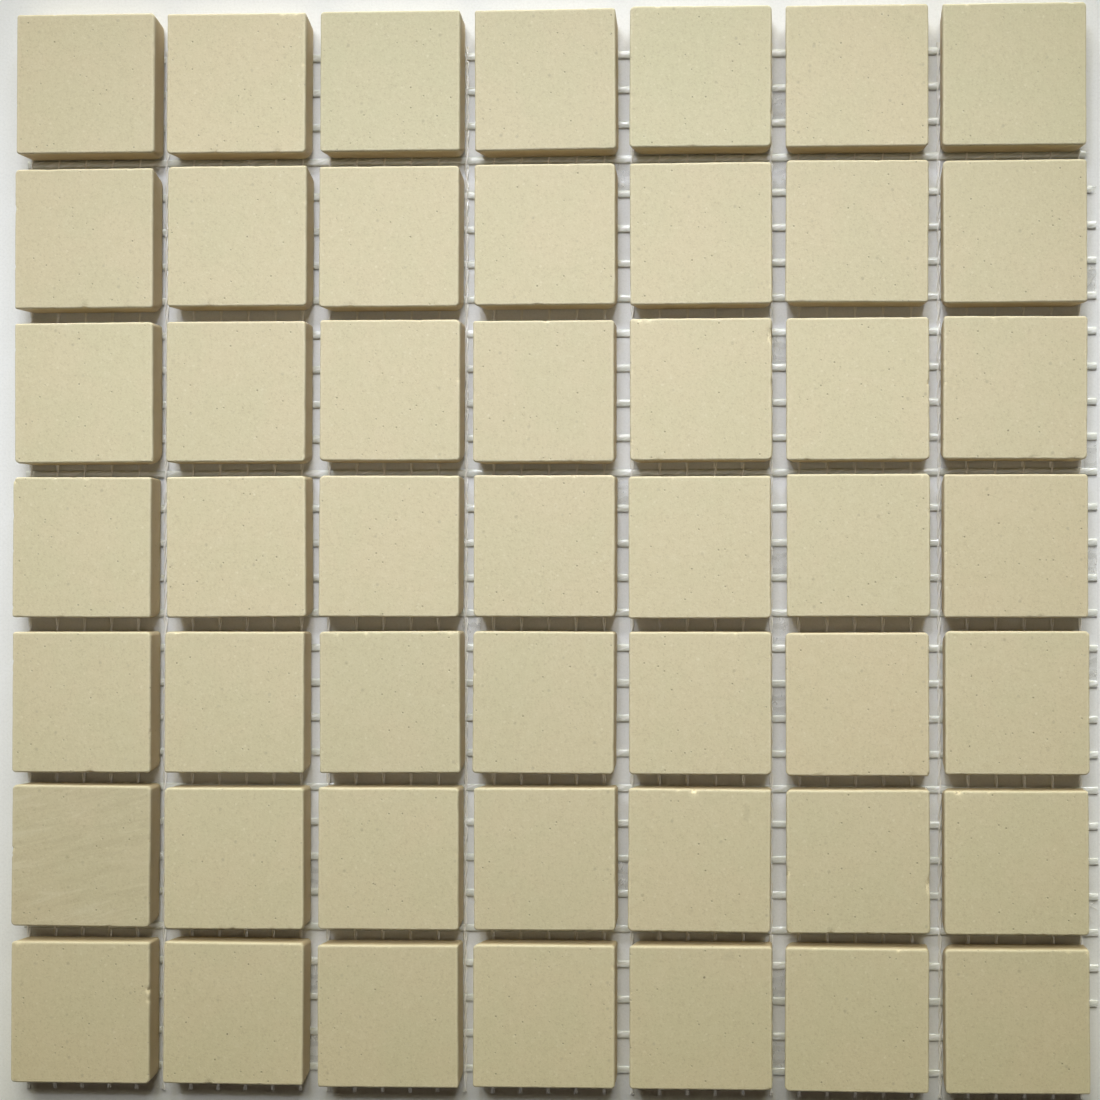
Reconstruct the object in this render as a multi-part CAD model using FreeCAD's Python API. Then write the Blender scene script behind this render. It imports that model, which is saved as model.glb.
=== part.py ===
"""A sheet of small unglazed porcelain mosaic chips on an open glass-fibre mesh.

The chips lie face up in a square grid, and their backs are bonded to the mesh. The
mesh is a flat net: wefts run across the sheet and lie on the warps, which run up the
sheet. The sheet is a corner cut from a larger one, so along its right and lower
edges the cut ends of the mesh stand out past the chips. Along its upper edge the mesh
ends short of the chips.

Millimetres, +Z up, X across the sheet and Y up the sheet. The origin is at the
middle of the sheet's footprint, on the surface that the mesh lies on.
"""
import FreeCAD, Part
import math
import os

# Chip grid
chip_rows = 7
chip_columns = 7
chip_side = 20.0
joint_across = 2.0
joint_along = 2.0

# Pressed chip
chip_thickness = 3.8
arris = 0.3
front_corner_cut = 0.4
back_corner_cut = 1.1
back_bevel_width = 0.35
back_bevel_height = 0.45
wall_draft = 0.1

# Laying tolerance of the chips, by hand on the mesh
lay_shift = 0.15
lay_turn = 0.4

# Glass-fibre mesh
weft_pitch = 5.0
warp_pitch = 3.97
weft_width = 1.0
weft_height = 0.25
warp_width = 0.62
warp_height = 0.25
mesh_bands = 4
overhang_right = 2.0
overhang_lower = 2.0
mesh_inset_upper = 3.8
first_weft_inset = 5.4
first_warp_inset = 0.68
last_warp_inset = 0.3
flush_wefts_upper = 3
flush_wefts_lower = 2

# Grid and mesh extents, worked out from the sizes above
pitch_across = chip_side + joint_across
pitch_along = chip_side + joint_along
field_width = chip_columns * pitch_across - joint_across
field_height = chip_rows * pitch_along - joint_along
left_edge = -(field_width + overhang_right) / 2
right_edge = left_edge + field_width
upper_edge = (field_height + overhang_lower) / 2
lower_edge = upper_edge - field_height
mesh_thickness = warp_height + weft_height


def corner_cut_square(side, cut, height):
    """The corners of a level square with its four corners cut off at 45 degrees."""
    half = side / 2
    near = half - cut
    ring = [(half, near), (near, half), (-near, half), (-half, near),
            (-half, -near), (-near, -half), (near, -half), (half, -near)]
    return [FreeCAD.Vector(x, y, height) for x, y in ring]


def flat_face(corners):
    """The plane face inside a ring of corners."""
    return Part.Face(Part.makePolygon(corners + corners[:1]))


def pressed_chip():
    """One chip, centred, from its back at height 0 to its face.

    The corner facets widen from the face towards the back. The face has an eased
    arris all round, and the back has a bevel where it left the press.
    """
    back_side = chip_side - 2 * wall_draft
    levels = [
        corner_cut_square(back_side - 2 * back_bevel_width, back_corner_cut, 0),
        corner_cut_square(back_side, back_corner_cut, back_bevel_height),
        corner_cut_square(chip_side, front_corner_cut, chip_thickness - arris),
        corner_cut_square(chip_side - 2 * arris, front_corner_cut, chip_thickness),
    ]
    faces = [flat_face(levels[0]), flat_face(levels[-1])]
    for lower, upper in zip(levels, levels[1:]):
        for i in range(len(lower)):
            j = (i + 1) % len(lower)
            faces.append(flat_face([lower[i], lower[j], upper[j], upper[i]]))
    return Part.makeSolid(Part.makeShell(faces))


def lay_offset(row, column, phase):
    """A small uneven value between -1 and 1 for one chip of the grid."""
    return math.sin(2.3 * row + 3.7 * column + phase) * math.cos(1.3 * row - 0.9 * column)


def laid_chip(row, column):
    """The chip of one row and column, counted from the upper left corner."""
    chip = pressed_chip()
    turn = lay_turn * lay_offset(row, column, 0.0)
    chip.rotate(FreeCAD.Vector(0, 0, 0), FreeCAD.Vector(0, 0, 1), turn)
    x = left_edge + chip_side / 2 + column * pitch_across + lay_shift * lay_offset(row, column, 1.0)
    y = upper_edge - chip_side / 2 - row * pitch_along + lay_shift * lay_offset(row, column, 2.0)
    chip.translate(FreeCAD.Vector(x, y, mesh_thickness))
    return chip


def evenly_spaced(start, pitch, end):
    """Places from start in steps of pitch, as many as fit before end."""
    count = int((end - start) / pitch + 1e-6) + 1
    return [start + i * pitch for i in range(count)]


def bar(x0, x1, y0, y1, z0, z1):
    """A straight bar between two corners."""
    return Part.makeBox(x1 - x0, y1 - y0, z1 - z0, FreeCAD.Vector(x0, y0, z0))


def weft(y, overhang):
    """One weft across the sheet, on top of the warps, as far as it stands out past the chips."""
    end = right_edge + overhang
    return bar(left_edge, end, y - weft_width / 2, y + weft_width / 2, warp_height, mesh_thickness)


def warp(x, lower, upper):
    """The stretch of one warp between two heights on the sheet."""
    return bar(x - warp_width / 2, x + warp_width / 2, lower, upper, 0, warp_height)


def mesh_band(wefts, warps, lower, upper):
    """One band of the mesh, fused where its wefts lie on its warps."""
    bars = [weft(y, overhang) for y, overhang in wefts] + [warp(x, lower, upper) for x in warps]
    return bars[0].multiFuse(bars[1:])


def mesh():
    """The mesh as bands from the upper edge down, each a solid of its own.

    The first and last few wefts are cut flush with the chips.
    """
    lower_end = lower_edge - overhang_lower
    places = evenly_spaced(-upper_edge + first_weft_inset, weft_pitch, -lower_end - weft_width)
    wefts = []
    for number, y in enumerate(places):
        flush = number < flush_wefts_upper or number >= len(places) - flush_wefts_lower
        wefts.append((-y, 0 if flush else overhang_right))
    warps = evenly_spaced(left_edge + first_warp_inset, warp_pitch, right_edge - last_warp_inset)
    per_band = math.ceil(len(wefts) / mesh_bands)
    bands = []
    upper = upper_edge - mesh_inset_upper
    while wefts:
        taken, wefts = wefts[:per_band], wefts[per_band:]
        lower = (taken[-1][0] + wefts[0][0]) / 2 if wefts else lower_end
        bands.append(mesh_band(taken, warps, lower, upper))
        upper = lower
    return bands


def build():
    """Every named solid of the sheet, with the origin at the middle of its footprint."""
    solids = {}
    for row in range(chip_rows):
        for column in range(chip_columns):
            solids[f"chip_r{row + 1}_c{column + 1}"] = laid_chip(row, column)
    for number, band in enumerate(mesh(), 1):
        solids[f"mesh_band_{number}"] = band
    footprint = Part.makeCompound(list(solids.values())).BoundBox.Center
    for shape in solids.values():
        shape.translate(FreeCAD.Vector(-footprint.x, -footprint.y, 0))
    return solids


def main():
    """Write one STEP file for each named solid."""
    os.makedirs("parts", exist_ok=True)
    for name, shape in build().items():
        shape.exportStep(f"parts/{name}.step")
        print(name, shape.ShapeType, len(shape.Solids), round(shape.Volume, 3), shape.isValid())


main()
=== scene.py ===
"""The finished look of a mesh-backed mosaic sheet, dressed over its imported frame.

The chips are pressed, unglazed porcelain with eased and slightly nibbled arrises. They
are bonded to a leno net of coated glass yarn, and on the two sides where the sheet was
cut from a larger one, the net's ends stand out and fray.
"""
import logging
import math
import random
from dataclasses import dataclass, field
from enum import Enum

import bpy
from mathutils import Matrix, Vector, noise


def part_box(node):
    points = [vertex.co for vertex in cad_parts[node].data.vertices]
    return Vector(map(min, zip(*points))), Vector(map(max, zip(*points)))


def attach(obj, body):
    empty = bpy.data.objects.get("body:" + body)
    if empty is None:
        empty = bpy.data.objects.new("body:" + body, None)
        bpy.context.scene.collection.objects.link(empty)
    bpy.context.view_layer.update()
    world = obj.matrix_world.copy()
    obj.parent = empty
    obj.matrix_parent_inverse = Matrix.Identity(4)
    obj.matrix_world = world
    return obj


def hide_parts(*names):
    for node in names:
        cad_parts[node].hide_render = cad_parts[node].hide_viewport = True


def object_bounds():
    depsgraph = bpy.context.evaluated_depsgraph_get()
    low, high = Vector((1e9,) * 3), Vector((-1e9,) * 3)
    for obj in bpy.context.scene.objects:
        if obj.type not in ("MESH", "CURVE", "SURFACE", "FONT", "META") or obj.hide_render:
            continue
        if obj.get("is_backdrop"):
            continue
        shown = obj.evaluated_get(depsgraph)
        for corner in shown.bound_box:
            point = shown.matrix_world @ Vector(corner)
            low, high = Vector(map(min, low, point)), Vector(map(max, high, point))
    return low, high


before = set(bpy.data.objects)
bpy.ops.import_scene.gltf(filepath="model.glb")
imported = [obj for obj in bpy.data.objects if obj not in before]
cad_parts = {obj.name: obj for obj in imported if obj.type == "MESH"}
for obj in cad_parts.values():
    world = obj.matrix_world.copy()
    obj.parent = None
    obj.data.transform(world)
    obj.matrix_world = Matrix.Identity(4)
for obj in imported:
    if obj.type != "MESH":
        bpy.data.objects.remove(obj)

MM = 0.001
log = logging.getLogger("mosaic_sheet")

Colour = tuple[float, float, float]
Socket = bpy.types.NodeSocket


class Side(Enum):
    """The sides of a chip, each with the direction that it faces."""

    RIGHT = 0
    UPPER = 1
    LEFT = 2
    LOWER = 3

    def outward(self) -> Vector:
        """The level direction that this side faces."""
        return Vector((math.cos(self.value * math.pi / 2), math.sin(self.value * math.pi / 2), 0))

    def forward(self) -> Vector:
        """The direction along this side, going anticlockwise round the chip."""
        return Vector((-self.outward().y, self.outward().x, 0))


class Lie(Enum):
    """Which way the fibres of a yarn run."""

    ACROSS = (0.04, 1.0, 1.0)
    ALONG = (1.0, 0.04, 1.0)


def uneven(place: Vector, feature: float, seed: float = 0.0) -> float:
    """Smooth unevenness at a place.

    Args:
        place: A point in metres.
        feature: The size of one swell, in metres.
        seed: A number that picks another pattern.

    Returns:
        A value between about -1 and 1.
    """
    return noise.noise(place / feature + Vector((seed * 7.31, seed * 3.17, seed * 5.93)))


def looked_at(tree: bpy.types.NodeTree) -> Socket:
    """1 for a ray that the camera or a gloss sends out, and 0 for the light's own rays."""
    ray = tree.nodes.new("ShaderNodeLightPath")
    seen = tree.nodes.new("ShaderNodeMath")
    seen.operation = "MAXIMUM"
    tree.links.new(ray.outputs["Is Camera Ray"], seen.inputs[0])
    tree.links.new(ray.outputs["Is Glossy Ray"], seen.inputs[1])
    return seen.outputs[0]


class ShaderTree:
    """One material, and short calls that add nodes to it."""

    def __init__(self, name: str) -> None:
        """Start a material of this name with its principled shader."""
        self.material = bpy.data.materials.new(name)
        self.material.use_nodes = True
        self.nodes = self.material.node_tree.nodes
        self.links = self.material.node_tree.links
        self.shader = self.nodes["Principled BSDF"]
        self.places = self.nodes.new("ShaderNodeTexCoord").outputs["Object"]

    def put(self, name: str, value: object) -> None:
        """Feed the shader's input of this name."""
        self.feed(self.shader.inputs[name], value)

    def feed(self, socket: Socket, value: object) -> None:
        """Link a socket to another, or set its number or colour.

        Args:
            socket: The input that takes the value.
            value: An output socket, a number, or three numbers.
        """
        if isinstance(value, bpy.types.NodeSocket):
            self.links.new(value, socket)
        elif socket.type == "RGBA":
            socket.default_value = (*value, 1.0)
        else:
            socket.default_value = value

    def node(self, kind: str, inputs: dict[int | str, object], **settings: object) -> bpy.types.Node:
        """Add a node.

        Args:
            kind: The node's type.
            inputs: What each of its inputs takes, as for feed.
            settings: The node's own settings.

        Returns:
            The new node.
        """
        made = self.nodes.new(kind)
        for name, value in settings.items():
            setattr(made, name, value)
        for name, value in inputs.items():
            self.feed(made.inputs[name], value)
        return made

    def stretched(self, scale: tuple[float, float, float]) -> Socket:
        """The object's coordinates, scaled along each axis."""
        return self.node("ShaderNodeMapping", {"Vector": self.places, "Scale": scale}).outputs["Vector"]

    def noise(self, feature: float, detail: float, rough: float, places: Socket | None = None,
              warp: float = 0.0) -> Socket:
        """Cloudy noise.

        Args:
            feature: The size of one cloud, in metres.
            detail: How many finer layers are added.
            rough: How strong the finer layers are.
            places: The coordinates, or none for the object's own.
            warp: How far the noise is folded into itself.

        Returns:
            A value that swings about 0.5.
        """
        inputs = {"Vector": places or self.places, "Scale": 1.0 / feature, "Detail": detail,
                  "Roughness": rough, "Distortion": warp}
        return self.node("ShaderNodeTexNoise", inputs).outputs["Fac"]

    def dots(self, gap: float, shift: float, fade: tuple[float, float],
             kept: tuple[float, float]) -> Socket:
        """Scattered soft dots.

        Args:
            gap: The mean distance between dots, in metres.
            shift: How far the pattern is moved, in metres, to make another one.
            fade: Where a dot begins to fade and where it ends, in gaps from its middle.
            kept: The random values, from 0 to 1, between which a dot grows to full strength.

        Returns:
            1 in a full dot, and 0 between the dots.
        """
        places = self.vector("ADD", self.places, (shift, shift, shift)).outputs[0]
        cells = self.node("ShaderNodeTexVoronoi", {"Vector": places, "Scale": 1.0 / gap})
        split = self.node("ShaderNodeSeparateColor", {0: cells.outputs["Color"]})
        dot = self.ramp(cells.outputs["Distance"], *fade, 1.0, 0.0)
        return self.times(dot, self.ramp(split.outputs[0], *kept))

    def math(self, operation: str, first: object, second: object = 0.0) -> Socket:
        """A sum, product or other operation on two values."""
        return self.node("ShaderNodeMath", {0: first, 1: second}, operation=operation).outputs[0]

    def times(self, first: object, second: object) -> Socket:
        """The product of two values."""
        return self.math("MULTIPLY", first, second)

    def ramp(self, value: object, low: float, high: float, start: float = 0.0,
             end: float = 1.0) -> Socket:
        """Carry a value smoothly from one range to another.

        Args:
            value: The value that is read.
            low: Where the range that is read begins.
            high: Where it ends.
            start: The result at low.
            end: The result at high.

        Returns:
            The result, held at its ends outside the range.
        """
        inputs = {"Value": value, "From Min": low, "From Max": high, "To Min": start, "To Max": end}
        return self.node("ShaderNodeMapRange", inputs, interpolation_type="SMOOTHSTEP").outputs[0]

    def blend(self, factor: object, under: object, over: object) -> Socket:
        """Lay one colour over another.

        Args:
            factor: How much of the upper colour shows, from 0 to 1.
            under: The lower colour.
            over: The upper colour.

        Returns:
            The mixed colour.
        """
        return self.node("ShaderNodeMix", {0: factor, 6: under, 7: over}, data_type="RGBA").outputs[2]

    def tint(self, share: object, strength: float, under: object, over: object) -> Socket:
        """Lay one colour over another, where a share says so and as strongly as the strength."""
        return self.blend(self.times(share, strength), under, over)

    def painted(self, name: str) -> Socket:
        """The value that the mesh carries under this name."""
        return self.node("ShaderNodeAttribute", {}, attribute_name=name).outputs["Fac"]

    def vector(self, operation: str, first: object, second: object = (0.0, 0.0, 0.0)) -> bpy.types.Node:
        """A sum, product or other operation on two vectors."""
        return self.node("ShaderNodeVectorMath", {0: first, 1: second}, operation=operation)

    def slanted(self, degrees: float, scale: tuple[float, float, float]) -> Socket:
        """The places, turned about the upright and then drawn out.

        Args:
            degrees: How far the pattern rises towards the right.
            scale: How much longer the pattern is along each turned axis.

        Returns:
            The places that the pattern is read at.
        """
        inputs = {"Vector": self.places, "Rotation": (0.0, 0.0, math.radians(degrees)), "Scale": scale}
        return self.node("ShaderNodeMapping", inputs, vector_type="TEXTURE").outputs["Vector"]

    def near(self, place: Vector, reach: float, tall: float, ragged: Socket) -> Socket:
        """How close a point is to a spot, with a ragged edge.

        Args:
            place: The middle of the spot.
            reach: Half its width, in metres.
            tall: Its height over its width.
            ragged: How much further off each point counts as being, which frays the edge.

        Returns:
            1 inside the spot, and 0 outside it.
        """
        aside = self.vector("SUBTRACT", self.places, place).outputs[0]
        rounded = self.vector("MULTIPLY", aside, (1.0, 1.0 / tall, 1.0)).outputs[0]
        away = self.vector("LENGTH", rounded).outputs["Value"]
        return self.ramp(self.times(away, ragged), 0.4 * reach, reach, 1.0, 0.0)

    def bump(self, height: Socket, depth: float) -> None:
        """Add relief over what the shader's normal has so far.

        Args:
            height: The relief, from 0 to 1.
            depth: How deep a height of 1 is, in metres.
        """
        normal = self.shader.inputs["Normal"]
        inputs = {"Height": height, "Distance": depth}
        if normal.is_linked:
            inputs["Normal"] = normal.links[0].from_socket
        self.feed(normal, self.node("ShaderNodeBump", inputs).outputs["Normal"])


@dataclass(frozen=True)
class Stain:
    """A dark speck or a faint smudge on one chip's face, in millimetres.

    across and up are measured from the chip's middle. reach is half the mark's width, and
    tall is its height over its width.
    """

    chip: str
    across: float
    up: float
    reach: float = 0.17
    strength: float = 0.75
    tall: float = 1.0


@dataclass(frozen=True)
class Porcelain:
    """The finish of the unglazed, full-body chips."""

    warm: Colour = (0.690, 0.608, 0.401)
    cool: Colour = (0.670, 0.605, 0.394)
    dark_grain: Colour = (0.470, 0.390, 0.235)
    pale_grain: Colour = (0.850, 0.790, 0.610)
    green_cast: Colour = (0.600, 0.620, 0.390)
    rosy_cast: Colour = (0.740, 0.600, 0.385)
    fired_side_and_shade: Colour = (0.545, 0.425, 0.245)
    rubbed_edge_and_highlight: Colour = (0.880, 0.800, 0.590)
    fracture: Colour = (0.900, 0.800, 0.540)
    stain: Colour = (0.180, 0.145, 0.085)
    cloud: float = 9.0 * MM
    mottle: float = 1.3 * MM
    grain: float = 0.32 * MM
    pore_gap: float = 0.95 * MM
    spot_gap: float = 2.2 * MM
    streak: float = 1.1 * MM
    streak_slant: float = 13.0
    mottle_strength: float = 0.09
    grain_strength: tuple[float, float] = (0.40, 0.34)
    pore_strength: float = 0.48
    spot_strength: float = 0.24
    fleck_strength: float = 0.35
    streak_strength: tuple[float, float] = (0.18, 0.22)
    side_shade_strength: float = 0.7
    rim_highlight_strength: float = 0.2
    relief: float = 0.022 * MM
    pore_depth: float = 0.05 * MM
    roughness: tuple[float, float] = (0.55, 0.70)
    specular: float = 0.35

    def material(self, name: str, stains: list[tuple[Stain, Vector]],
                 streaky: bool) -> bpy.types.Material:
        """Make the material of the plain chips, or of one chip that has marks of its own.

        Args:
            name: The material's name.
            stains: The chip's marks, each with its place on the sheet.
            streaky: True if the chip is streaked.

        Returns:
            The material.
        """
        tree = ShaderTree(name)
        clouds = tree.noise(self.cloud, 3.0, 0.5)
        mottle = tree.noise(self.mottle, 4.0, 0.6)
        grain = tree.noise(self.grain, 4.0, 0.7)
        colour = tree.blend(tree.ramp(clouds, 0.35, 0.65), self.cool, self.warm)
        for way, cast in ((1.0, self.rosy_cast), (-1.0, self.green_cast)):
            share = tree.math("MAXIMUM", tree.times(tree.painted("hue"), way), 0.0)
            colour = tree.blend(share, colour, cast)
        faint = self.mottle_strength
        colour = tree.blend(tree.ramp(mottle, 0.30, 0.50, faint, 0.0), colour, self.dark_grain)
        colour = tree.blend(tree.ramp(mottle, 0.50, 0.72, 0.0, faint), colour, self.pale_grain)
        dark, pale = self.grain_strength
        colour = tree.blend(tree.ramp(grain, 0.30, 0.48, dark, 0.0), colour, self.dark_grain)
        colour = tree.blend(tree.ramp(grain, 0.54, 0.72, 0.0, pale), colour, self.pale_grain)
        colour, pores = self.speckled(tree, colour)
        if streaky:
            colour = self.streaked(tree, colour)
        # The walls and backs take a browner fired colour, which is darkened further as painted shade for
        # the joints between the chips.
        colour = tree.tint(tree.painted("side"), self.side_shade_strength, colour, self.fired_side_and_shade)
        # The arris is lightened, partly as rubbed wear and partly as a painted highlight.
        colour = tree.tint(tree.painted("rim"), self.rim_highlight_strength, colour, self.rubbed_edge_and_highlight)
        for mark, place in stains:
            spot = tree.near(place, mark.reach * MM, mark.tall, tree.ramp(mottle, 0.3, 0.7, 0.7, 1.4))
            colour = tree.tint(spot, mark.strength, colour, self.stain)
        broken = tree.blend(tree.ramp(grain, 0.36, 0.46), self.dark_grain, self.fracture)
        colour = tree.blend(tree.painted("chipped"), colour, broken)
        toned = tree.vector("SCALE", colour)
        tree.feed(toned.inputs["Scale"], tree.painted("tone"))
        tree.put("Base Color", toned.outputs[0])
        tree.put("Roughness", tree.ramp(mottle, 0.3, 0.7, *self.roughness))
        tree.put("Specular IOR Level", self.specular)
        tree.bump(tree.math("ADD", mottle, grain), self.relief)
        tree.bump(tree.math("SUBTRACT", 1.0, pores), self.pore_depth)
        return tree.material

    def speckled(self, tree: ShaderTree, colour: Socket) -> tuple[Socket, Socket]:
        """Scatter dark pores and pale flecks over the body.

        Args:
            tree: The material in the making.
            colour: The body's colour so far.

        Returns:
            The speckled colour, and the pores from 0 to 1.
        """
        pores = tree.dots(self.pore_gap, 0.0, (0.07, 0.18), (0.62, 1.00))
        colour = tree.tint(pores, self.pore_strength, colour, self.stain)
        spots = tree.dots(self.spot_gap, 0.02, (0.04, 0.16), (0.35, 0.90))
        colour = tree.tint(spots, self.spot_strength, colour, self.stain)
        flecks = tree.dots(1.3 * self.pore_gap, 0.01, (0.08, 0.20), (0.60, 0.90))
        return tree.tint(flecks, self.fleck_strength, colour, self.pale_grain), pores

    def streaked(self, tree: ShaderTree, colour: Socket) -> Socket:
        """Lay soft slanting streaks over the chip.

        Args:
            tree: The material in the making.
            colour: The body's colour so far.

        Returns:
            The streaked colour.
        """
        drawn = tree.slanted(self.streak_slant, (9.0, 1.0, 1.0))
        bands = tree.noise(self.streak, 3.0, 0.6, drawn, warp=0.9)
        dark, pale = self.streak_strength
        colour = tree.tint(tree.ramp(bands, 0.48, 0.66), dark, colour, self.dark_grain)
        return tree.tint(tree.ramp(bands, 0.44, 0.32), pale, colour, self.pale_grain)


@dataclass(frozen=True)
class GlassYarn:
    """The finish of the coated glass yarn of the net."""

    coat: Colour = (0.745, 0.770, 0.715)
    shaded: Colour = (0.620, 0.632, 0.560)
    painted_highlight: Colour = (0.950, 0.960, 0.940)
    filament: float = 0.06 * MM
    blotch: float = 1.5 * MM
    highlight_streak: float = 0.45 * MM
    twist: float = 18.0
    relief: float = 0.02 * MM
    roughness: tuple[float, float] = (0.30, 0.50)
    specular: float = 0.5
    gloss: float = 0.8
    gloss_roughness: float = 0.12

    def material(self, name: str, lie: Lie) -> bpy.types.Material:
        """Make the material.

        Args:
            name: The material's name.
            lie: Which way the fibres run.

        Returns:
            The material of the yarns that lie that way.
        """
        tree = ShaderTree(name)
        fibres = tree.noise(self.filament, 2.0, 0.6, tree.stretched(lie.value))
        blotches = tree.noise(self.blotch, 3.0, 0.6)
        colour = tree.blend(tree.ramp(fibres, 0.35, 0.60, 0.5, 0.0), self.coat, self.shaded)
        colour = tree.blend(tree.ramp(blotches, 0.35, 0.70, 0.25, 0.0), colour, self.shaded)
        # The wefts get pale slanting streaks, a painted highlight that runs along the twist of their
        # fibres.
        if lie is Lie.ACROSS:
            highlight_streak = tree.noise(self.highlight_streak, 1.0, 0.5, tree.slanted(self.twist, (6.0, 1.0, 1.0)))
            colour = tree.blend(tree.ramp(highlight_streak, 0.48, 0.66, 0.0, 0.7), colour, self.painted_highlight)
        tree.put("Base Color", colour)
        tree.put("Roughness", tree.ramp(blotches, 0.3, 0.7, *self.roughness))
        tree.put("Specular IOR Level", self.specular)
        tree.put("Coat Weight", self.gloss)
        tree.put("Coat Roughness", self.gloss_roughness)
        tree.bump(fibres, self.relief)
        return tree.material


@dataclass(frozen=True)
class DriedGlue:
    """The finish of the thin skins of clear glue that dried in a few cells of the net."""

    skin: Colour = (0.670, 0.675, 0.655)
    crease: Colour = (0.590, 0.595, 0.575)
    glint: Colour = (0.950, 0.950, 0.930)
    creases: float = 0.9
    wander: float = 2.2 * MM
    cover: tuple[float, float] = (0.18, 0.32)
    glint_cover: float = 0.7
    relief: float = 0.004 * MM
    roughness: float = 0.22
    specular: float = 0.5

    def material(self) -> bpy.types.Material:
        """The material of the skins, with creases that follow their rims."""
        tree = ShaderTree("dried_glue")
        bend = tree.noise(self.wander, 2.0, 0.5)
        inward = tree.times(tree.painted("inward"), 2 * math.pi * self.creases)
        turns = tree.math("ADD", inward, tree.times(bend, 6.0))
        folds = tree.ramp(tree.math("SINE", turns), -0.2, 0.9)
        painted_highlight = tree.noise(0.35 * self.wander, 2.0, 0.5, tree.stretched((1.0, 0.45, 1.0)), warp=0.6)
        # The pale flecks on the skins are painted glints.
        glints = tree.ramp(painted_highlight, 0.58, 0.70)
        colour = tree.blend(folds, self.skin, self.crease)
        tree.put("Base Color", tree.blend(glints, colour, self.glint))
        cover = tree.ramp(folds, 0.0, 1.0, *self.cover)
        tree.put("Alpha", tree.math("MAXIMUM", cover, tree.times(glints, self.glint_cover)))
        tree.put("Roughness", self.roughness)
        tree.put("Specular IOR Level", self.specular)
        tree.bump(folds, self.relief)
        return tree.material


@dataclass(frozen=True)
class PaleBoard:
    """The finish of the plain pale board under the sheet, which fades to white far from it."""

    face: Colour = (0.885, 0.895, 0.893)
    fibre: Colour = (0.815, 0.825, 0.823)
    grain: float = 0.35 * MM
    relief: float = 0.02 * MM
    roughness: float = 0.9
    specular: float = 0.2
    fade: tuple[float, float] = (112.0 * MM, 220.0 * MM)

    def material(self) -> bpy.types.Material:
        """The material of the board."""
        tree = ShaderTree("pale_board")
        grain = tree.noise(self.grain, 4.0, 0.7)
        colour = tree.blend(tree.ramp(grain, 0.30, 0.60, 0.7, 0.0), self.face, self.fibre)
        tree.put("Base Color", colour)
        tree.put("Roughness", self.roughness)
        tree.put("Specular IOR Level", self.specular)
        tree.bump(grain, self.relief)
        away = tree.ramp(tree.vector("LENGTH", tree.places).outputs["Value"], *self.fade)
        faded = tree.times(away, looked_at(tree.material.node_tree))
        white = tree.node("ShaderNodeEmission", {}).outputs[0]
        mix = tree.node("ShaderNodeMixShader", {0: faded, 1: tree.shader.outputs[0], 2: white})
        tree.feed(tree.nodes["Material Output"].inputs["Surface"], mix.outputs[0])
        return tree.material


@dataclass
class Surface:
    """Points and faces gathered for one mesh, with the values that its points carry."""

    points: list[Vector] = field(default_factory=list)
    faces: list[tuple[int, ...]] = field(default_factory=list)
    slots: list[int] = field(default_factory=list)
    values: dict[str, list[float]] = field(default_factory=dict)

    def ring(self, points: list[Vector], **values: float | list[float]) -> int:
        """Add a ring of points.

        Args:
            points: The ring, anticlockwise.
            values: What its points carry, as one number for all of them or one for each.

        Returns:
            The number of the ring's first point.
        """
        first = len(self.points)
        self.points.extend(points)
        for name, value in values.items():
            each = value if isinstance(value, list) else [value] * len(points)
            self.values.setdefault(name, []).extend(each)
        return first

    def band(self, lower: int, upper: int, count: int, slot: int = 0) -> None:
        """Join two rings of as many points with quads.

        Args:
            lower: The first point of the lower ring.
            upper: The first point of the upper ring.
            count: How many points each ring has.
            slot: The material slot of the new faces.
        """
        for i in range(count):
            j = (i + 1) % count
            self.faces.append((lower + i, lower + j, upper + j, upper + i))
            self.slots.append(slot)

    def cap(self, first: int, count: int, upward: bool, slot: int = 0) -> None:
        """Close a ring with one face.

        Args:
            first: The first point of the ring.
            count: How many points it has.
            upward: True if the face looks the way the ring turns.
            slot: The material slot of the new face.
        """
        ring = tuple(range(first, first + count))
        self.faces.append(ring if upward else ring[::-1])
        self.slots.append(slot)

    def sheet(self, points: list[Vector], columns: int, slot: int, **values: list[float]) -> None:
        """Add an open sheet from rows of points.

        Args:
            points: The points, row after row.
            columns: How many points a row has.
            slot: The material slot of the new faces.
            values: What the points carry, as one number for each.
        """
        first = self.ring(points, **values)
        for i in range(len(points) - columns):
            if (i + 1) % columns:
                corner = first + i
                self.faces.append((corner, corner + 1, corner + columns + 1, corner + columns))
                self.slots.append(slot)

    def make(self, name: str, materials: list[bpy.types.Material],
             sharp: float = 40.0) -> bpy.types.Object:
        """Turn what was gathered into an object.

        Args:
            name: The object's name.
            materials: Its material slots.
            sharp: Edges over this angle, in degrees, are shown sharp.

        Returns:
            The new object, linked to the scene.
        """
        mesh = bpy.data.meshes.new(name)
        mesh.from_pydata([tuple(p) for p in self.points], [], self.faces)
        for material in materials:
            mesh.materials.append(material)
        mesh.polygons.foreach_set("material_index", self.slots)
        mesh.polygons.foreach_set("use_smooth", [True] * len(self.faces))
        mesh.set_sharp_from_angle(angle=math.radians(sharp))
        for label, values in self.values.items():
            mesh.attributes.new(label, "FLOAT", "POINT").data.foreach_set("value", values)
        mesh.update()
        made = bpy.data.objects.new(name, mesh)
        bpy.context.scene.collection.objects.link(made)
        return made


@dataclass(frozen=True)
class Level:
    """One ring of a chip's profile.

    radii are those of the corner at the end of each side. side, rim and bite say how much the
    ring belongs to the walls, to the arris, and to what a nick takes away.
    """

    half: float
    radii: list[float]
    z: float
    side: float = 0.0
    rim: float = 0.0
    bite: float = 0.0


@dataclass(frozen=True)
class Nick:
    """A flake broken out of the arris of one chip, in millimetres.

    at is measured along the side from its middle, anticlockwise round the chip.
    """

    chip: str
    side: Side
    at: float
    width: float
    depth: float


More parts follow.
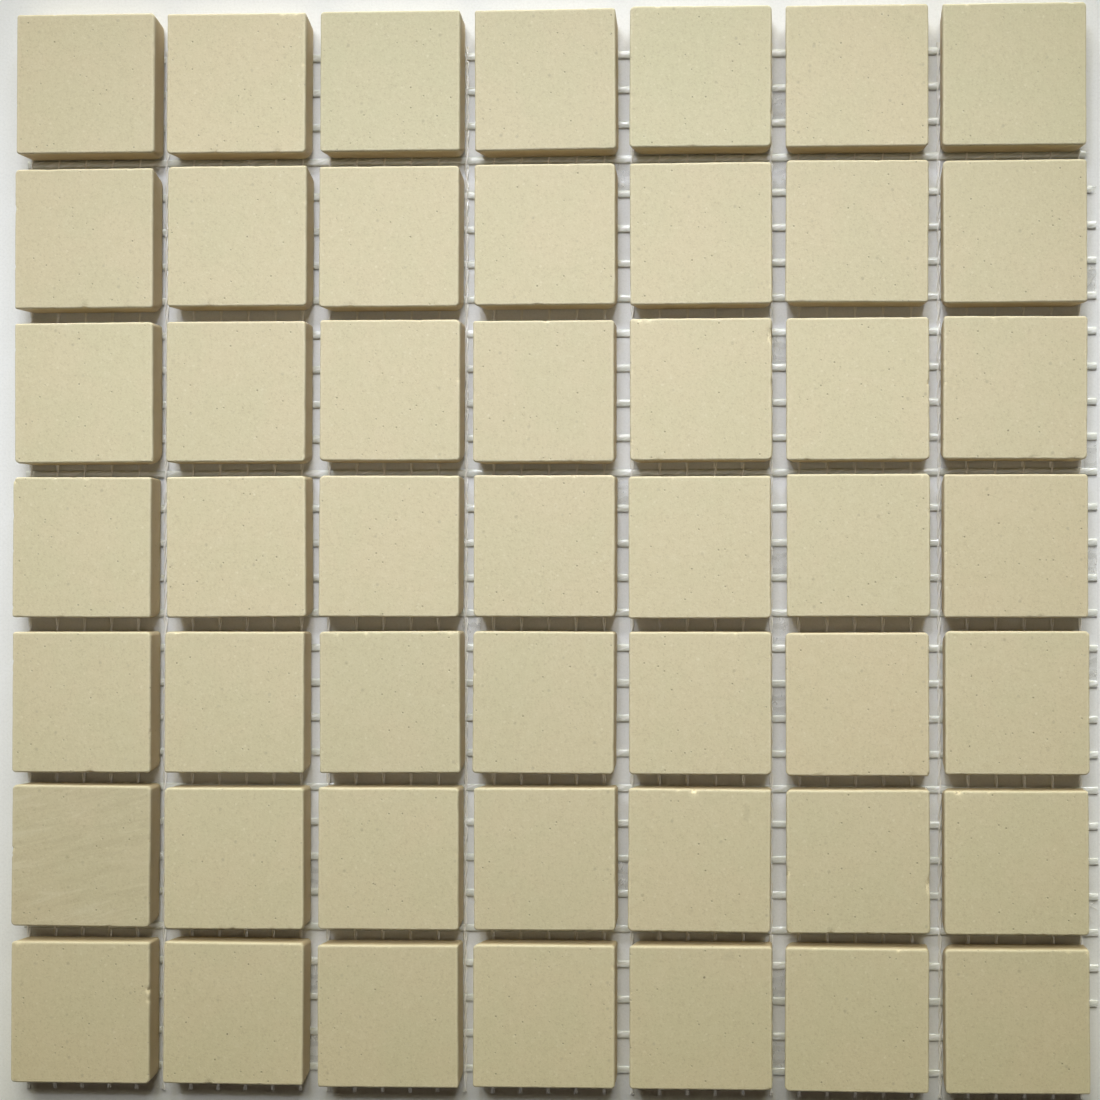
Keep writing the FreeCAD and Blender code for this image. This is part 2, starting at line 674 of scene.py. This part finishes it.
@dataclass
class Chips:
    """The pressed chips, one piece for each chip of the frame.

    wall_steps, arris_steps and face_steps place the rings of a chip's profile: shares of the
    wall's height, degrees round the arris, and insets of the face in millimetres, each with
    its share of a nick.
    """

    rows: int = 7
    columns: int = 7
    arris: float = 0.30 * MM
    face_corner: tuple[float, float] = (0.30 * MM, 0.75 * MM)
    back_corner: tuple[float, float] = (1.10 * MM, 1.75 * MM)
    keen_corner: tuple[float, float] = (0.35 * MM, 0.60 * MM)
    keen_from_row: int = 3
    bevel_width: float = 0.12 * MM
    bevel_height: float = 0.15 * MM
    back_inset: float = 3.0 * MM
    wall_steps: tuple[float, ...] = (0.2, 0.4, 0.6, 0.8, 0.94, 1.0)
    arris_steps: tuple[float, ...] = (18, 36, 54, 72, 90)
    face_steps: tuple[tuple[float, float], ...] = ((0.42, 0.55), (0.7, 0), (1.5, 0), (3.5, 0), (6.5, 0))
    side_steps: int = 56
    corner_steps: int = 9
    nibble_gap: float = 0.8 * MM
    nibble_depth: float = 0.30 * MM
    nibble_start: float = 0.42
    nick_fall: float = 0.8
    fresh_from: float = 0.03 * MM
    fresh_over: float = 0.10 * MM
    wander: float = 0.05 * MM
    wander_feature: float = 3.0 * MM
    dish: float = 0.02 * MM
    dish_feature: float = 7.0 * MM
    corner_start: float = 0.95
    tone_spread: float = 0.022
    streaky_shade: float = 0.06
    green_share: tuple[float, float] = (0.16, 0.24)
    rosy_share: tuple[float, float] = (0.20, 0.28)
    plain_share: float = 0.05
    streaky: str = "r6_c1"
    greenish: tuple[str, ...] = ("r1_c3", "r1_c5", "r1_c7")
    rosy: tuple[str, ...] = ("r4_c7", "r5_c6")
    nicks: tuple[Nick, ...] = (
        Nick("r1_c2", Side.LOWER, -3.0, 0.8, 0.15),
        Nick("r1_c2", Side.LOWER, 6.0, 0.9, 0.15),
        Nick("r2_c1", Side.LOWER, 0.1, 0.9, 0.20),
        Nick("r2_c2", Side.LOWER, -4.0, 1.2, 0.15),
        Nick("r2_c3", Side.LOWER, -5.5, 1.0, 0.15),
        Nick("r3_c5", Side.RIGHT, 7.5, 2.6, 0.30),
        Nick("r6_c1", Side.LEFT, -0.9, 0.8, 0.18),
        Nick("r6_c5", Side.UPPER, 0.8, 1.1, 0.32),
        Nick("r6_c6", Side.LEFT, 1.5, 1.8, 0.16),
        Nick("r6_c6", Side.RIGHT, -3.1, 3.0, 0.26),
        Nick("r6_c6", Side.LOWER, -3.8, 0.8, 0.18),
        Nick("r6_c6", Side.LOWER, 1.3, 0.7, 0.14),
        Nick("r6_c7", Side.UPPER, 8.1, 1.6, 0.14),
        Nick("r7_c1", Side.RIGHT, 3.2, 0.9, 0.26),
        Nick("r7_c1", Side.RIGHT, 1.8, 1.1, 0.14),
        Nick("r7_c2", Side.LOWER, -3.4, 0.9, 0.16),
    )
    stains: tuple[Stain, ...] = (
        Stain("r1_c1", 7.1, -9.2),
        Stain("r1_c1", -7.0, -9.0, 0.14),
        Stain("r2_c2", 1.5, -0.1),
        Stain("r3_c7", -1.0, -6.0),
        Stain("r4_c7", -3.8, 7.1),
        Stain("r5_c7", -6.6, -6.0),
        Stain("r5_c7", -5.6, 1.1, 0.15, 0.5),
        Stain("r6_c3", -2.1, -3.5),
        Stain("r6_c5", 6.6, 6.7, 0.60, 0.10, 2.6),
        Stain("r6_c6", 7.3, 8.2, 0.40, 0.12),
        Stain("r7_c1", 0.4, -0.8, 0.10, 0.6, 2.4),
        Stain("r7_c2", -6.7, -1.3),
        Stain("r7_c2", -0.8, -2.9, 0.14),
        Stain("r7_c5", 4.1, 8.8, 1.00, 0.09, 0.8),
        Stain("r7_c5", 0.5, 5.7),
        Stain("r7_c6", 5.6, 5.8, 0.15, 0.5),
    )

    def spot(self, stain: Stain) -> Vector:
        """The place of a stain on its chip's face."""
        place = self.middle(stain.chip) + Vector((stain.across * MM, stain.up * MM, 0))
        place.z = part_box("chip_" + stain.chip)[1].z
        return place

    def names(self) -> list[str]:
        """The chips by row and column, from the upper left one."""
        return [f"r{r}_c{c}" for r in range(1, self.rows + 1) for c in range(1, self.columns + 1)]

    def middle(self, chip: str) -> Vector:
        """The middle of a chip's box."""
        low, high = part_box("chip_" + chip)
        return (low + high) / 2

    def turn(self, chip: str) -> float:
        """How far a chip was laid askew, from the upright right side of its solid.

        Args:
            chip: The chip's row and column.

        Returns:
            The angle in radians.
        """
        corners = [v.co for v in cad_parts["chip_" + chip].data.vertices]
        top = max(c.z for c in corners)
        arris_level = max(c.z for c in corners if c.z < top - self.arris / 2)
        ring = [c for c in corners if abs(c.z - arris_level) < self.arris / 4]
        side = sorted({(round(c.x, 7), round(c.y, 7)) for c in ring})
        ends = sorted(side[-2:], key=lambda corner: corner[1])
        return math.atan2(ends[0][0] - ends[1][0], ends[1][1] - ends[0][1])

    def hue(self, chip: str, draws: random.Random) -> float:
        """How rosy a chip came out of the kiln, from -1 for the greenest to 1.

        Args:
            chip: The chip's row and column.
            draws: The chip's own random numbers.

        Returns:
            The share of the rosy cast, or below 0 of the green one.
        """
        if chip in self.greenish:
            return -draws.uniform(*self.green_share)
        if chip in self.rosy:
            return draws.uniform(*self.rosy_share)
        return self.plain_share * draws.uniform(-1, 1)

    def outline(self, half: float, radii: list[float]) -> list[tuple[Side, float, Vector, Vector]]:
        """A square ring with round corners.

        Args:
            half: Half the square's side.
            radii: The radius of the corner at the end of each side.

        Returns:
            For each point its side, its distance along it, its place, and its outward direction.
        """
        ring = []
        for side in Side:
            out, ahead = side.outward(), side.forward()
            start = -(half - radii[side.value - 1])
            end = half - radii[side.value]
            for step in range(self.side_steps):
                along = start + (end - start) * step / self.side_steps
                ring.append((side, along, out * half + ahead * along, out))
            for step in range(self.corner_steps):
                angle = math.pi / 2 * step / self.corner_steps
                way = out * math.cos(angle) + ahead * math.sin(angle)
                ring.append((side, end, out * end + ahead * end + way * radii[side.value], way))
        return ring

    def bite(self, chip: str, side: Side, along: float, place: Vector, seed: float) -> float:
        """How much is missing from the arris at one point.

        Args:
            chip: The chip's row and column.
            side: The side that the point is on.
            along: Its distance along the side.
            place: The point itself.
            seed: The chip's own number.

        Returns:
            The depth that is missing, in metres.
        """
        lost = self.nibble_depth * max(0.0, uneven(place, self.nibble_gap, seed) - self.nibble_start)
        for nick in self.nicks:
            at, width = nick.at * MM, nick.width * MM
            if nick.chip == chip and nick.side == side and abs(along - at) < width / 2:
                reach = 1.0 - (2 * (along - at) / width) ** 2
                rough = 0.8 + 0.4 * uneven(place, 0.4 * MM, seed)
                lost = max(lost, nick.depth * MM * reach * rough)
        return lost

    def levels(self, chip: str, half: float, thickness: float, draws: random.Random) -> list[Level]:
        """The profile of one chip, from the middle of its back to near the middle of its face.

        Args:
            chip: The chip's row and column.
            half: Half the chip's side.
            thickness: The chip's thickness.
            draws: The chip's own random numbers.

        Returns:
            The rings from the back up the wall, round the arris and in over the face.
        """
        face = [draws.uniform(*self.face_corner) for _ in Side]
        back = [draws.uniform(*self.back_corner) for _ in Side]
        if int(chip[1]) >= self.keen_from_row:
            back[Side.RIGHT.value] = draws.uniform(*self.keen_corner)
        rings = [Level(half - self.bevel_width - self.back_inset, back, 0.0, side=1.0),
                 Level(half - self.bevel_width, back, 0.0, side=1.0),
                 Level(half - 0.3 * self.bevel_width, back, 0.4 * self.bevel_height, side=1.0),
                 Level(half, back, self.bevel_height, side=1.0)]
        wall_top = thickness - self.arris
        for share in self.wall_steps:
            radii = [b + (f - b) * share for b, f in zip(back, face)]
            z = self.bevel_height + (wall_top - self.bevel_height) * share
            side = 1.0 if share < 0.9 else 0.5
            rings.append(Level(half, radii, z, side, rim=share ** 16, bite=0.6 * share ** 6))
        for degrees in self.arris_steps:
            angle = math.radians(degrees)
            inset = self.arris * (1 - math.cos(angle))
            radii = [max(f - inset, 0.1 * MM) for f in face]
            z = wall_top + self.arris * math.sin(angle)
            rings.append(Level(half - inset, radii, z, rim=1.0, bite=1.0))
        for inset, bite in self.face_steps:
            radii = [max(f - inset * MM, 0.15 * MM) for f in face]
            rings.append(Level(half - inset * MM, radii, thickness, bite=bite))
        return rings

    def build(self, chip: str, material: bpy.types.Material) -> bpy.types.Object:
        """Make one chip in the place of its solid.

        Args:
            chip: The chip's row and column.
            material: The porcelain.

        Returns:
            The finished chip.
        """
        low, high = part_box("chip_" + chip)
        thickness = high.z - low.z
        seed = self.names().index(chip) + 1
        draws = random.Random(seed)
        turn = self.turn(chip)
        spread = math.cos(turn) + abs(math.sin(turn)) * self.corner_start
        half = (high.x - low.x) / 2 / spread
        middle = self.middle(chip)
        tone = 1.0 + self.tone_spread * draws.uniform(-1, 1)
        tone -= self.streaky_shade if chip == self.streaky else 0.0
        hue = self.hue(chip, draws)
        surface = Surface()
        count = len(Side) * (self.side_steps + self.corner_steps)
        rings = []
        for level in self.levels(chip, half, thickness, draws):
            points, chipped = [], []
            for side, along, place, out in self.outline(level.half, level.radii):
                spot = Vector((place.x, place.y, level.z))
                bite = level.bite * self.bite(chip, side, along, place, seed)
                moved = place - out * (bite + abs(self.wander * uneven(spot, self.wander_feature, seed)))
                z = level.z - self.nick_fall * bite
                if level.z > thickness - MM / 1000:
                    z -= self.dish * (0.5 + 0.5 * uneven(spot, self.dish_feature, seed))
                chipped.append(min(1.0, max(0.0, bite - self.fresh_from) / self.fresh_over))
                points.append(Vector((middle.x + moved.x * math.cos(turn) - moved.y * math.sin(turn),
                                      middle.y + moved.x * math.sin(turn) + moved.y * math.cos(turn),
                                      low.z + z)))
            rings.append(surface.ring(points, side=level.side, rim=level.rim, tone=tone, hue=hue,
                                      chipped=chipped))
        surface.cap(rings[0], count, upward=False)
        for lower, upper in zip(rings, rings[1:]):
            surface.band(lower, upper, count)
        surface.cap(rings[-1], count, upward=True)
        made = surface.make("porcelain_" + chip, [material])
        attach(made, "root")
        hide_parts("chip_" + chip)
        return made

    def build_all(self) -> None:
        """Make every chip, in the plain porcelain or in one that carries the chip's own marks."""
        plain = Porcelain().material("unglazed_porcelain", [], False)
        for chip in self.names():
            stains = [(stain, self.spot(stain)) for stain in self.stains if stain.chip == chip]
            streaky = chip == self.streaky
            material = plain
            if stains or streaky:
                material = Porcelain().material("unglazed_porcelain_" + chip, stains, streaky)
            self.build(chip, material)
            log.info("chip %s: %d stains", chip, len(stains))


@dataclass(frozen=True)
class Films:
    """Skins of dried glue in the cells of the net along one upright joint.

    across is measured from the middle of the chip field, and width is a skin's own, both in
    millimetres. cells are the gaps between the wefts, counted from the upper one as 0.
    """

    across: float
    cells: tuple[int, ...]
    width: float = 2.6


@dataclass(frozen=True)
class Loose:
    """A loose filament past the right edge, as steps out from the chips and up from their middle."""

    steps: tuple[tuple[float, float], ...]


@dataclass
class LenoNet:
    """The glass net: flat wefts, each held between the twisted yarns of the warps."""

    bands: int = 4
    weft_pitch: float = 5.0 * MM
    warp_pitch: float = 3.97 * MM
    first_weft_inset: float = 1.6 * MM
    first_warp_inset: float = 0.68 * MM
    last_warp_inset: float = 0.30 * MM
    weft_width: float = 1.04 * MM
    weft_height: float = 0.30 * MM
    weft_lift: float = 0.04 * MM
    yarn_width: float = 0.27 * MM
    yarn_height: float = 0.13 * MM
    twist_reach: float = 0.16 * MM
    overhang: float = 2.0 * MM
    field_half: float = 76.0 * MM
    weft_ends: tuple[float, ...] = (-0.30 * MM, -0.20 * MM, -0.05 * MM, 0.45 * MM, 1.30 * MM)
    last_weft_ends: tuple[float, ...] = (1.75 * MM, -0.20 * MM, -0.25 * MM)
    weft_swell: float = 0.10
    swell_feature: float = 4.0 * MM
    weft_sway: float = 0.09 * MM
    weft_sway_feature: float = 14.0 * MM
    warp_sway: float = 0.07 * MM
    warp_sway_feature: float = 11.0 * MM
    weft_step: float = 1.0 * MM
    warp_step: float = 0.5 * MM
    weft_sides: int = 14
    yarn_sides: int = 6
    hair: float = 0.045 * MM
    fray_count: tuple[int, int] = (4, 8)
    fray_root: float = 0.3 * MM
    longest_fray: float = 0.7 * MM
    film_grid: tuple[int, int] = (9, 15)
    film_rim: float = 0.12 * MM
    film_lift: float = 0.16 * MM
    film_wave: float = 0.08 * MM
    films: tuple[Films, ...] = (
        Films(-33.0, (23, 26, 28)), Films(-11.0, (16,)), Films(11.0, (3, 12, 23)),
        Films(33.0, (1, 3, 8, 14, 16, 18, 26, 28)), Films(77.0, (6, 11, 14, 17), 1.8),
    )
    loose: tuple[Loose, ...] = (
        Loose(((-0.3, 60.0), (0.15, 60.5), (0.45, 60.75), (0.8, 60.7))),
        Loose(((-0.3, 56.6), (0.1, 56.4), (0.35, 55.8), (0.6, 55.4))),
        Loose(((-0.2, 55.0), (0.2, 55.1), (0.5, 55.5))),
        Loose(((-0.1, 37.5), (0.6, 38.8), (1.2, 39.4), (1.9, 39.3))),
        Loose(((0.5, 36.8), (1.0, 37.3), (1.5, 38.2), (1.9, 38.6))),
        Loose(((1.2, 39.4), (1.35, 38.2), (1.1, 37.1))),
        Loose(((-0.1, -49.8), (0.8, -50.6), (1.9, -51.2))),
        Loose(((1.9, -49.8), (1.0, -50.4), (0.2, -51.1))),
        Loose(((0.4, -51.2), (0.8, -52.2), (1.1, -53.1))),
    )

    def __post_init__(self) -> None:
        """Read the net's edges from the frame."""
        boxes = [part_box(f"mesh_band_{n}") for n in range(1, self.bands + 1)]
        self.low = Vector(map(min, *(b[0] for b in boxes)))
        self.high = Vector(map(max, *(b[1] for b in boxes)))
        self.middle_z = (self.low.z + self.high.z) / 2
        self.weft_z = self.low.z + self.weft_lift + self.weft_height / 2
        self.chip_right = self.high.x - self.overhang
        self.chip_lower = self.low.y + self.overhang

    def sweep(self, surface: Surface, line: list[tuple[Vector, float, float]], side: Vector,
              sides: int, slot: int) -> None:
        """Sweep a flat round section along a line.

        Args:
            surface: What the yarn is added to.
            line: Points, each with the section's width and height there.
            side: The level direction across the yarn.
            sides: How many sides the section has.
            slot: The yarn's material slot.
        """
        up = Vector((0, 0, 1))
        rings = []
        for place, width, height in line:
            ring = []
            for i in range(sides):
                angle = 2 * math.pi * i / sides
                edge = place + side * (width / 2 * math.cos(angle))
                ring.append(edge + up * (height / 2 * math.sin(angle)))
            rings.append(surface.ring(ring, inward=0.0))
        heading = line[1][0] - line[0][0]
        forward = side.cross(up).dot(heading) > 0
        surface.cap(rings[0], sides, not forward, slot)
        for lower, upper in zip(rings, rings[1:]):
            if forward:
                surface.band(lower, upper, sides, slot)
            else:
                surface.band(upper, lower, sides, slot)
        surface.cap(rings[-1], sides, forward, slot)

    def stand_out(self, number: int, count: int) -> float:
        """How far a weft stands out past the chips.

        Args:
            number: The weft, counted from the upper one as 0.
            count: How many wefts the net has.

        Returns:
            The distance in metres, below 0 where it stops under a chip.
        """
        last = count - len(self.last_weft_ends)
        if number < len(self.weft_ends):
            return self.weft_ends[number]
        return self.last_weft_ends[number - last] if number >= last else 0.96 * self.overhang

    def weft(self, surface: Surface, y: float, end: float, draws: random.Random) -> None:
        """Add one weft across the sheet, with its cut end.

        Args:
            surface: What the weft is added to.
            y: Where it lies up the sheet.
            end: Where its cut end is across the sheet.
            draws: Random numbers.
        """
        count = int((end - self.low.x) / self.weft_step)
        line = []
        for i in range(count + 1):
            x = self.low.x + (end - self.low.x) * i / count
            place = Vector((x, y, 0))
            sway = self.weft_sway * uneven(place, self.weft_sway_feature, 1.0)
            width = self.weft_width * (1.0 + self.weft_swell * uneven(place, self.swell_feature, 2.0))
            height = self.weft_height * (1.0 - self.weft_swell * uneven(place, self.swell_feature, 3.0))
            line.append((Vector((x, y + sway, self.weft_z)), width, height))
        self.sweep(surface, line, Vector((0, 1, 0)), self.weft_sides, 0)
        reach = min(self.high.x - end, self.longest_fray)
        self.fray(surface, line[-1][0], Vector((1, 0, 0)), reach, self.weft_width, draws, 0)

    def warp(self, surface: Surface, x: float, lower: float, upper: float, first_weft: float,
             draws: random.Random) -> None:
        """Add the two yarns of one warp over a stretch of the sheet.

        Args:
            surface: What the yarns are added to.
            x: Where the warp lies across the sheet.
            lower: The stretch's lower end.
            upper: Its upper end.
            first_weft: Where one of the wefts lies, which the twist keeps in step with.
            draws: Random numbers.
        """
        start = lower
        if lower < self.chip_lower:
            start = lower + self.overhang * draws.uniform(0.03, 0.18)
        if upper > self.high.y - self.first_weft_inset:
            upper -= draws.uniform(0.05, 0.45) * MM
        count = int((upper - start) / self.warp_step)
        rise = (self.high.z - self.low.z - self.yarn_height) / 2
        for turn_start in (0.0, math.pi):
            line = []
            for i in range(count + 1):
                y = start + (upper - start) * i / count
                phase = 2 * math.pi * (y - first_weft) / self.weft_pitch + turn_start
                sway = self.warp_sway * uneven(Vector((x, y, 0)), self.warp_sway_feature, 4.0)
                clasp = (1.0 + math.cos(2 * phase)) / 2
                lift = math.cos(phase) * (0.45 * rise + 0.55 * rise * self.held(y, first_weft))
                aside = self.twist_reach * math.sin(phase) * (1.0 - 0.2 * clasp)
                line.append((Vector((x + aside + sway, y, self.middle_z + lift * 0.97)),
                             self.yarn_width, self.yarn_height))
            self.sweep(surface, line, Vector((1, 0, 0)), self.yarn_sides, 1)
            if start > lower:
                down = Vector((0, -1, 0))
                self.fray(surface, line[0][0], down, start - lower, self.yarn_width, draws, 1)

    def held(self, y: float, first_weft: float) -> float:
        """How close a place is to the nearest weft, from 0 midway to 1 on it."""
        return (0.5 + 0.5 * math.cos(2 * math.pi * (y - first_weft) / self.weft_pitch)) ** 2

    def fray(self, surface: Surface, root: Vector, ahead: Vector, reach: float, width: float,
             draws: random.Random, slot: int) -> None:
        """Add loose filaments to the cut end of a yarn.

        Args:
            surface: What the filaments are added to.
            root: The middle of the cut end.
            ahead: The level direction that the yarn points.
            reach: How far a filament may stand out.
            width: The yarn's width.
            draws: Random numbers.
            slot: The material slot of the filaments.
        """
        across = Vector((-ahead.y, ahead.x, 0))
        for _ in range(draws.randint(*self.fray_count)):
            length = reach * draws.uniform(0.35, 0.95)
            begin = draws.uniform(-0.42, 0.42) * width
            swing = begin / width * draws.uniform(0.2, 0.9) + draws.uniform(-0.25, 0.25)
            height = draws.uniform(-0.4, 0.4) * self.weft_height
            drop = draws.uniform(-0.10, 0.06) * MM
            line = []
            for i in range(7):
                t = i / 6
                place = root - ahead * self.fray_root + ahead * (length + self.fray_root) * t
                place = place + across * (begin + swing * length * t * t)
                place.z = self.middle_z + height * (1 - t) + drop * t
                line.append((place, self.hair, self.hair))
            self.sweep(surface, line, across, 4, slot)

    def film(self, surface: Surface, films: Films, y: float) -> None:
        """Add one skin of dried glue, wavy and with an uneven rim.

        Args:
            surface: What the skin is added to.
            films: The joint that it lies in, and its width.
            y: The middle of its cell.
        """
        middle = Vector((self.low.x + self.field_half + films.across * MM, y, 0))
        width = films.width * MM
        height = self.weft_pitch - 0.8 * self.weft_width
        lean = 1.2 * uneven(middle, 9 * MM, 6.0)
        columns, rows = self.film_grid
        points, inward = [], []
        for j in range(rows):
            for i in range(columns):
                across, up = 2 * i / (columns - 1) - 1, 2 * j / (rows - 1) - 1
                place = middle + Vector((across * width / 2, up * height / 2, 0))
                inward.append(math.hypot(0.35 * (across - lean), 1.3 * (up - 0.9)))
                place += Vector((across, up, 0)) * (self.film_rim * uneven(place, 0.7 * MM, 8.0))
                place.x = min(place.x, self.high.x - 0.02 * MM)
                place.z = self.low.z + self.film_lift + self.film_wave * uneven(place, 0.9 * MM, 9.0)
                points.append(place)
        surface.sheet(points, columns, 2, inward=inward)

    def strand(self, surface: Surface, loose: Loose) -> None:
        """Add one loose filament past the right edge.

        Args:
            surface: What the filament is added to.
            loose: Its steps, in millimetres.
        """
        line = []
        for number, (out, up) in enumerate(loose.steps):
            x, y = self.chip_right + out * MM, self.chip_lower + self.field_half + up * MM
            z = self.low.z + (0.10 + 0.10 * (number % 2)) * MM
            line.append((Vector((x, y, z)), 1.6 * self.hair, 1.6 * self.hair))
        self.sweep(surface, line, Vector((0, 1, 0)), 5, 1)

    def build_all(self) -> None:
        """Make the net, one piece for each band of the frame."""
        thin = GlassYarn(coat=(0.950, 0.935, 0.880), shaded=(0.860, 0.840, 0.780))
        materials = [GlassYarn().material("glass_weft", Lie.ACROSS),
                     thin.material("glass_warp", Lie.ALONG), DriedGlue().material()]
        first_weft = self.high.y - self.first_weft_inset
        first_warp = self.low.x + self.first_warp_inset
        wefts = int((first_weft - self.low.y - self.weft_width) / self.weft_pitch) + 1
        warps = int((self.chip_right - self.last_warp_inset - first_warp) / self.warp_pitch) + 1
        field_middle = self.chip_lower + self.field_half
        for number in range(1, self.bands + 1):
            low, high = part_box(f"mesh_band_{number}")
            draws = random.Random(100 + number)
            surface = Surface()
            for i in range(wefts):
                y = first_weft - i * self.weft_pitch
                if low.y < y < high.y:
                    self.weft(surface, y, self.chip_right + self.stand_out(i, wefts), draws)
            for i in range(warps):
                self.warp(surface, first_warp + i * self.warp_pitch, low.y, high.y, first_weft, draws)
            for films in self.films:
                for y in (first_weft - (cell + 0.5) * self.weft_pitch for cell in films.cells):
                    if low.y < y < high.y:
                        self.film(surface, films, y)
            for loose in self.loose:
                if low.y < field_middle + loose.steps[0][1] * MM < high.y:
                    self.strand(surface, loose)
            made = surface.make(f"glass_net_{number}", materials, 60.0)
            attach(made, "root")
            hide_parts(f"mesh_band_{number}")
            log.info("net, band %d: %d points", number, len(surface.points))


@dataclass
class Board:
    """The plain pale floor that the sheet lies on."""

    half_width: float = 1.5

    def build(self) -> None:
        """Make the floor."""
        surface = Surface()
        h = self.half_width
        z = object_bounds()[0].z - 0.01 * MM
        surface.ring([Vector((-h, -h, z)), Vector((h, -h, z)), Vector((h, h, z)), Vector((-h, h, z))])
        surface.cap(0, 4, True)
        surface.make("pale_board", [PaleBoard().material()])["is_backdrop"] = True
        log.info("board: %.1f m wide", 2 * h)


@dataclass
class Daylight:
    """Soft light from a wide window beyond the sheet's upper edge."""

    height: float = 44.0
    left: float = 2.0
    sun_drop: float = -7.0
    sun_power: float = 2.18
    sun_colour: Colour = (1.000, 0.971, 0.720)
    sun_softness: float = 54.0
    pane_power: float = 3.54
    pane_colour: Colour = (0.763, 0.813, 1.000)
    pane_distance: float = 0.70
    pane_radius: float = 0.05
    pane_fan: tuple[float, float] = (22.0, 14.0)
    pane_cone: float = 14.6
    pane_stretch: float = 2.15
    pane_target: tuple[float, float, float] = (-0.006, 0.019, 0.0)
    targets_apart: tuple[float, float] = (0.006, 0.004)
    fill: float = 0.020
    fill_colour: Colour = (1.00, 0.66, 0.42)

    def build(self) -> None:
        """Make the lamps and the world."""
        sun = bpy.data.lights.new("window_light", "SUN")
        sun.energy = self.sun_power
        sun.color = self.sun_colour
        sun.angle = math.radians(self.sun_softness)
        self.aim(sun, self.way(0.0, self.sun_drop), Vector((0, 0, 0)))
        for aside, above in ((i, j) for i in (-1, 0, 1) for j in (-1, 1)):
            target = Vector(self.pane_target)
            target += Vector((-aside * self.targets_apart[0], above * self.targets_apart[1], 0))
            pane = bpy.data.lights.new("window_pane", "SPOT")
            pane.energy = self.pane_power
            pane.color = self.pane_colour
            pane.shadow_soft_size = self.pane_radius
            pane.spot_size = math.radians(self.pane_cone)
            pane.spot_blend = 1.0
            way = self.way(aside * self.pane_fan[0], above * self.pane_fan[1])
            lamp = self.aim(pane, target + way * self.pane_distance, target)
            lamp.scale.x = self.pane_stretch
        world = bpy.data.worlds.new("pale_room")
        world.use_nodes = True
        bpy.context.scene.world = world
        self.dress(world.node_tree)
        log.info("light: window %.2f, panes %.2f, fill %.2f", self.sun_power, self.pane_power, self.fill)

    def way(self, aside: float, above: float) -> Vector:
        """The direction towards a part of the window.

        Args:
            aside: How far it is to the left of the window's middle, in degrees.
            above: How far it is above the middle, in degrees.

        Returns:
            A unit vector.
        """
        height, left = math.radians(self.height + above), math.radians(self.left + aside)
        level = math.cos(height)
        return Vector((-math.sin(left) * level, math.cos(left) * level, math.sin(height)))

    def aim(self, light: bpy.types.Light, place: Vector, target: Vector) -> bpy.types.Object:
        """Put a lamp at a place, pointing at a target.

        Args:
            light: The lamp's data.
            place: Where the lamp stands.
            target: What it points at.

        Returns:
            The lamp's object.
        """
        made = bpy.data.objects.new(light.name, light)
        made.location = place
        made.rotation_mode = "QUATERNION"
        made.rotation_quaternion = (target - place).to_track_quat("-Z", "Y")
        bpy.context.scene.collection.objects.link(made)
        return made

    def dress(self, tree: bpy.types.NodeTree) -> None:
        """Fill the world with soft light, and show it white.

        Args:
            tree: The world's node tree.
        """
        light = tree.nodes["Background"]
        light.inputs["Color"].default_value = (*self.fill_colour, 1.0)
        light.inputs["Strength"].default_value = self.fill
        shown = tree.nodes.new("ShaderNodeBackground")
        shown.inputs["Color"].default_value = (1.0, 1.0, 1.0, 1.0)
        shown.inputs["Strength"].default_value = 1.0
        mix = tree.nodes.new("ShaderNodeMixShader")
        tree.links.new(looked_at(tree), mix.inputs[0])
        tree.links.new(light.outputs[0], mix.inputs[1])
        tree.links.new(shown.outputs[0], mix.inputs[2])
        tree.links.new(mix.outputs[0], tree.nodes["World Output"].inputs["Surface"])


@dataclass
class Viewpoint:
    """The camera, looking down on the sheet from a little to the right of its middle."""

    height: float = 230.0 * MM
    right: float = 34.3 * MM
    down: float = 6.8 * MM
    lens: float = 53.809
    sensor: float = 36.0
    lean: float = 2.2085
    tip: float = 0.7039
    shift_x: float = -0.1587
    shift_y: float = 0.0222
    chip_field_right: float = -0.94 * MM
    chip_field_up: float = 0.93 * MM

    def build(self) -> None:
        """Make the camera and give it to the scene."""
        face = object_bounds()[1].z
        data = bpy.data.cameras.new("viewpoint")
        data.lens = self.lens
        data.sensor_width = self.sensor
        made = bpy.data.objects.new("viewpoint", data)
        across, up = self.chip_field_right + self.right, self.chip_field_up - self.down
        made.location = (across, up, face + self.height)
        made.rotation_euler = (math.radians(self.tip), math.radians(self.lean), 0.0)
        data.shift_x = self.shift_x
        data.shift_y = self.shift_y
        bpy.context.scene.collection.objects.link(made)
        bpy.context.scene.camera = made
        log.info("camera: shift %.3f, %.3f", data.shift_x, data.shift_y)


def main() -> None:
    """Build the sheet, its floor, its light and its camera."""
    logging.basicConfig(level=logging.INFO, format="%(name)s: %(message)s")
    bpy.context.scene.view_settings.view_transform = "Standard"
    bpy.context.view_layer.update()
    Viewpoint().build()
    Board().build()
    Daylight().build()
    Chips().build_all()
    LenoNet().build_all()


if __name__ == "__main__":
    main()
